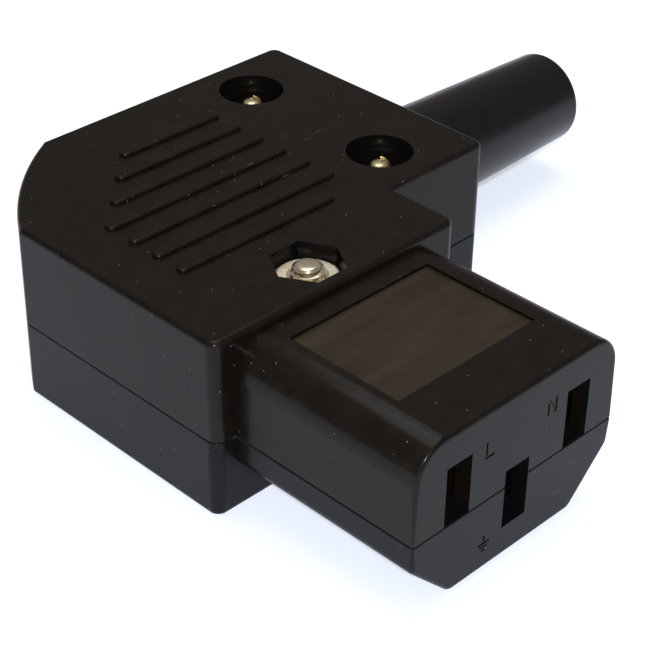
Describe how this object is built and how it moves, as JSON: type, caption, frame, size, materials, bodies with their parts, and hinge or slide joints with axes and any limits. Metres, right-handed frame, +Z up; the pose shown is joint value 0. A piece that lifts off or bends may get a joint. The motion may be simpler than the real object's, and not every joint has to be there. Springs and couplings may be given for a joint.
{
  "type": "c13 power connector",
  "caption": "Right-angle C13 power connector that is wired by hand: two screwed half shells, a keyed nose with contact slots, and a rubber cord boot at the side.",
  "frame": {"origin": "on the surface it rests on, under the middle of the whole connector's box", "axes": "+Z up, the nose points to -Y, the cord boot leaves the body towards +X"},
  "size_m": [0.0666, 0.0546, 0.0173],
  "materials": {
    "shell": "black moulded nylon, satin",
    "boot_rubber": "black moulded rubber, satin",
    "nickel_steel": "nickel plated steel, bright",
    "zinc_steel": "zinc plated steel, bright",
    "contact_brass": "rolled brass strip, bright",
    "block_brass": "milled brass, bright",
    "clamp_nylon": "dark moulded nylon"
  },
  "bodies": {
    "root": {"upper_shell": "shell", "lower_shell": "shell", "boot": "boot_rubber", "closing_screw": "nickel_steel", "closing_nut": "nickel_steel", "front_housing_screw": "zinc_steel", "rear_housing_screw": "zinc_steel", "line_contact": "contact_brass", "neutral_contact": "contact_brass", "earth_contact": "contact_brass", "line_terminal": "block_brass", "neutral_terminal": "block_brass", "earth_terminal": "block_brass", "line_terminal_screw": "nickel_steel", "neutral_terminal_screw": "nickel_steel", "earth_terminal_screw": "nickel_steel", "cord_clamp": "clamp_nylon", "front_clamp_screw": "zinc_steel", "rear_clamp_screw": "zinc_steel"}
  },
  "joints": []
}
